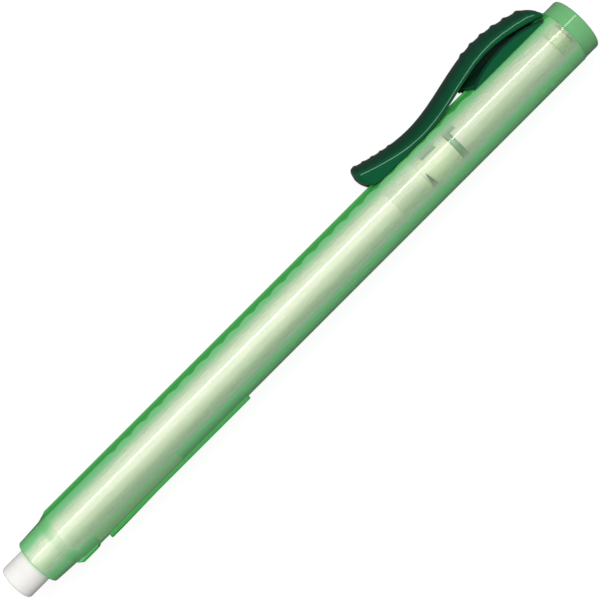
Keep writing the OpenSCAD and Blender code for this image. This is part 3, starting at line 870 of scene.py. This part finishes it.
def thumb_clip():
    """Thumb rest and clip in one moulding."""
    stations = 300
    rings = []
    for station in range(stations + 1):
        share = (1 - math.cos(math.pi * station / stations)) / 2
        rings.append(clip_section(SLIDER_X + END_INSET + (CLIP_LEN - 2 * END_INSET) * share))
    piece = rings_to_piece("thumb_rest_and_clip", rings)
    ribs = rib_tree(slider_plastic)
    for first, pitch, count, height in (
            (SLIDER_X + 2.3, 2.2, 6, 0.22),
            (CLIP_FRONT_X - 7.5, 1.55, 5, 0.13)):
        apply_rule(piece, ribs, **{
            "First": first, "Pitch": pitch, "Ribs": count, "Height": height,
            "Half Width": CLIP_HALF, "Level": RIB_LEVEL_Y})
    combine(piece, barrel_space())
    dress(piece, slider_plastic, ["clip_arm"])
    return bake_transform(piece)


def slider_shoe():
    """What carries the thumb rest: saddle, web, bar in the slot, catch and legs."""
    length = (SADDLE_FRONT_X - SLIDER_X) / 2
    depth = SADDLE_TOP - SADDLE_FOOT
    arc_r = (length**2 + depth**2) / (2 * depth)
    spread = math.asin(length / arc_r)
    arc_steps = 40
    crest = []
    for step in range(arc_steps + 1):
        angle = spread * (2 * step / arc_steps - 1)
        crest.append((SLIDER_X + length + arc_r * math.sin(angle),
                      arc_r - SADDLE_TOP - arc_r * math.cos(angle), 0))
    # Saddle, web and skirt go down into the barrel's space, which then cuts them to shape
    piece = plate("slider_shoe", crest + [(SADDLE_FRONT_X, -3, 0), (SLIDER_X, -3, 0)],
                  SADDLE_HALF, SADDLE_EDGE)
    # The web's upper line lies inside the thumb rest, half its thickness down
    web_rear_x = SLIDER_X + 0.05
    under_rest = []
    for step in range(30):
        x = 6 + 0.5 * step
        under_rest.append((x, -BARREL_R - top_line(x) + CLIP_T / 2, 0))
    web = plate("web", [
        (web_rear_x, -2, 0), (web_rear_x, -RIDE_R, 0), *under_rest,
        (under_rest[-1][0], -2, 0)], WEB_HALF)
    combine(piece, web, "UNION")
    skirt = plate("skirt", [
        (SKIRT_REAR_X, -1, 0), (SKIRT_REAR_X, -SKIRT_TOP, 0), (SKIRT_FRONT_X, -SKIRT_TOP, 0),
        (SKIRT_FRONT_X, -1, 0)], SKIRT_HALF, SKIRT_SLOPE)
    combine(piece, skirt, "UNION")
    combine(piece, barrel_space())
    slot_web = slot_cutter(
        "slot_web", WEB_REAR_X, BAR_FRONT_X + SLOT_WEB_HALF, SLOT_WEB_HALF, BARREL_R)
    combine(slot_web, block("below_web", 0, ROOM_FRONT_X, -1, WEB_LOW_R, BARREL_R))
    combine(slot_web, block(
        "ahead_of_bar", BAR_FRONT_X, ROOM_FRONT_X, ROOM_LOW_R, CLEAR_R, BARREL_R))
    combine(piece, slot_web, "UNION")
    stem = block("stem", WEB_REAR_X + 1.5, SADDLE_FRONT_X - 0.2, WEB_LOW_R + 0.3, STEM_TOP_R,
                 NECK_HALF)
    combine(piece, stem, "UNION")
    catch = block("catch", CATCH_REAR_X, CATCH_FRONT_X, CATCH_LOW_R, CATCH_R, CATCH_HALF)
    combine(piece, catch, "UNION")
    neck = block("catch_neck", CATCH_REAR_X, CATCH_FRONT_X, CATCH_LOW_R, JOIN_R, NECK_HALF)
    combine(piece, neck, "UNION")
    for leg_x in (FRONT_LEG_X, REAR_LEG_X):
        leg = block("leg", leg_x, leg_x + LEG_LEN, LEG_END_R, JOIN_R, LEG_HALF)
        combine(piece, leg, "UNION")
    return dress(piece, slider_plastic, ["thumb_slider"], "slider")


barrel()
tail_plug()
eraser_stick()
eraser_cup()
thumb_clip()
slider_shoe()


# Camera, floor and light

CAMERA_X = 62.39 * MM
CAMERA_Z = 255 * MM
VIEW_WIDTH = 95.69 * MM
SENSOR_WIDTH = 36
FLOOR_Z = -BARREL_R * MM
FLOOR_HALF = 3
# How brightly the floor shows to the camera, and through the clear plastic
GLOW = 0.9
GLOW_THROUGH_PLASTIC = 1.1


def photo_camera():
    """A camera square to the plane of axis and clip, turned so that the nose points down and left."""
    camera = bpy.data.objects.new("camera", bpy.data.cameras.new("camera"))
    bpy.context.scene.collection.objects.link(camera)
    bpy.context.scene.camera = camera
    camera.data.sensor_width = SENSOR_WIDTH
    camera.data.lens = SENSOR_WIDTH * CAMERA_Z / VIEW_WIDTH
    camera.data.clip_start = 0.01
    half = math.sqrt(0.5)
    camera.matrix_world = Matrix((
        (-half, -half, 0, CAMERA_X), (half, -half, 0, 0), (0, 0, 1, CAMERA_Z), (0, 0, 0, 1)))


def paper_floor():
    """White paper under the object, which shows white and keeps a faint shadow."""
    material, tree, out = blank("white_paper")
    rays = add(tree, "ShaderNodeLightPath").outputs
    through = add(tree, "ShaderNodeMath", {
        0: rays["Is Transmission Ray"], 1: GLOW_THROUGH_PLASTIC}, operation="MULTIPLY")
    seen = add(tree, "ShaderNodeMath", {
        0: rays["Is Camera Ray"], 1: GLOW, 2: through}, operation="MULTIPLY_ADD")
    glow = add(tree, "ShaderNodeEmission", {"Color": (1, 1, 1, 1), "Strength": seen})
    fibres = add(tree, "ShaderNodeBump", {
        "Height": noise_on(tree, 0.6, detail=4), "Distance": 0.01 * MM, "Strength": 1.0})
    matte = add(tree, "ShaderNodeBsdfDiffuse", {"Color": linear("606060"), "Normal": fibres})
    both = add(tree, "ShaderNodeAddShader", {0: glow, 1: matte})
    tree.links.new(both.outputs[0], out.inputs["Surface"])
    mesh = bpy.data.meshes.new("floor")
    rim = ((-1, -1), (1, -1), (1, 1), (-1, 1))
    mesh.from_pydata([(FLOOR_HALF * a, FLOOR_HALF * b, FLOOR_Z) for a, b in rim], [], [(0, 1, 2, 3)])
    mesh.materials.append(material)
    floor = bpy.data.objects.new("floor", mesh)
    bpy.context.scene.collection.objects.link(floor)


def softbox(name, place, size, power):
    """A soft lamp that faces the middle of the object."""
    data = bpy.data.lights.new(name, "AREA")
    data.shape = "RECTANGLE"
    data.size, data.size_y = size
    data.energy = power
    lamp = bpy.data.objects.new(name, data)
    lamp.location = place
    lamp.rotation_euler = (Vector(place) - Vector((CAMERA_X, 0, 0))).to_track_quat("Z", "Y").to_euler()
    bpy.context.scene.collection.objects.link(lamp)
    return lamp


def plain_sky(strength, in_gloss):
    """Even white light from all round, plain white to the camera and dim in reflections."""
    world = bpy.data.worlds.new("studio")
    bpy.context.scene.world = world
    world.use_nodes = True
    world.node_tree.nodes.clear()
    rays = add(world.node_tree, "ShaderNodeLightPath").outputs
    reflected = add(world.node_tree, "ShaderNodeMapRange", {
        "Value": rays["Is Glossy Ray"], "To Min": strength, "To Max": in_gloss})
    shown = add(world.node_tree, "ShaderNodeMapRange", {
        "Value": rays["Is Camera Ray"], "To Min": reflected, "To Max": 1.0})
    sky = add(world.node_tree, "ShaderNodeBackground", {"Color": (1, 1, 1, 1), "Strength": shown})
    add(world.node_tree, "ShaderNodeOutputWorld", {"Surface": sky})


photo_camera()
paper_floor()
# The long lamp stands 24 degrees off the camera's line, so that its reflection is the streak
softbox("long_lamp", (CAMERA_X, -0.203, 0.457), (0.6, 0.05), 0.62)
window_lamp = softbox("window_lamp", (CAMERA_X, -0.1, 0.48), (0.7, 0.3), 1.75)
window_lamp.visible_glossy = False
plain_sky(strength=0.38, in_gloss=0.08)
bpy.context.scene.view_settings.view_transform = "Standard"
